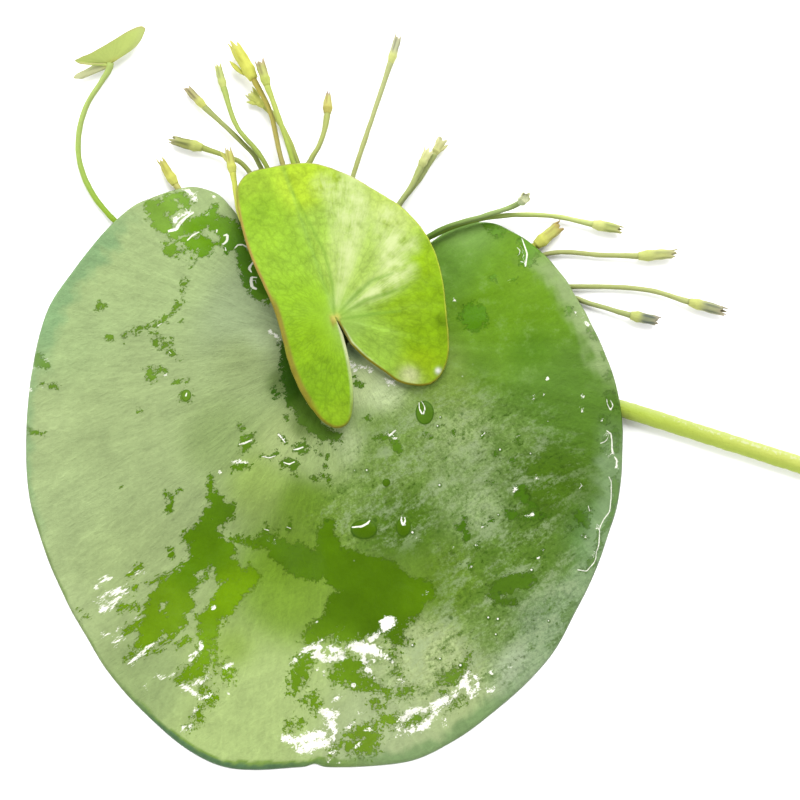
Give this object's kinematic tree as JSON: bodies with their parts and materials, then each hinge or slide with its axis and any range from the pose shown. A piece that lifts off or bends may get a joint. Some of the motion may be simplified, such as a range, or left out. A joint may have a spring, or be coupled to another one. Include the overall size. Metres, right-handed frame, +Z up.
{
  "type": "floating heart water plant",
  "caption": "Floating-heart water plant laid flat: a round notched leaf, a young leaf over it, a folded leaf on a curled stalk, a fan of budded flower stalks and a thick stem.",
  "frame": {"origin": "on the table under the middle of the plant's bounding box", "axes": "+Z up from the table; +X along the thick stem towards its cut end, the right of the picture; +Y towards the notch of the big leaf, the top of the picture"},
  "size_m": [0.166, 0.1503, 0.0114],
  "materials": {
    "main_stem": "Thick fleshy stem, pale yellow-green, slightly bumpy and moist",
    "crown": "Green knot of plant tissue where the stem, leaves and flower stalks meet",
    "big_leaf": "Waxy grey-green leaf with dark glossy patches where it is wet",
    "young_leaf": "Bright yellow-green satin leaf with a fine net of veins and a brown-orange edge",
    "folded_leaf": "Pale green satin leaf, still folded, pinkish at its tips",
    "stalk": "Slender smooth stalks, sage to bright green, one of them ochre",
    "bud": "Yellow swollen bases with green-streaked sepals and pale or brown withered tips"
  },
  "bodies": {
    "root": {"main_stem": "main_stem", "crown": "crown", "big_leaf": "big_leaf", "young_leaf": "young_leaf", "young_leaf_stalk": "stalk", "folded_leaf": "folded_leaf", "folded_leaf_stalk": "stalk", "flower_stalk_01": "stalk", "flower_stalk_02": "stalk", "flower_stalk_03": "stalk", "flower_stalk_04": "stalk", "flower_stalk_05": "stalk", "flower_stalk_06": "stalk", "flower_stalk_07": "stalk", "flower_stalk_08": "stalk", "flower_stalk_09": "stalk", "flower_stalk_10": "stalk", "flower_stalk_11": "stalk", "flower_stalk_12": "stalk", "flower_stalk_13": "stalk", "flower_stalk_14": "stalk", "flower_stalk_15": "stalk", "flower_stalk_16": "stalk", "flower_stalk_17": "stalk", "flower_stalk_18": "stalk", "flower_bud_01": "bud", "flower_bud_02": "bud", "flower_bud_03": "bud", "flower_bud_04": "bud", "flower_bud_05": "bud", "flower_bud_06": "bud", "flower_bud_07": "bud", "flower_bud_08": "bud", "flower_bud_09": "bud", "flower_bud_10": "bud", "flower_bud_11": "bud", "flower_bud_12": "bud", "flower_bud_13": "bud", "flower_bud_14": "bud", "flower_bud_15": "bud", "flower_bud_16": "bud", "flower_bud_17": "bud", "flower_bud_18": "bud"}
  },
  "joints": []
}
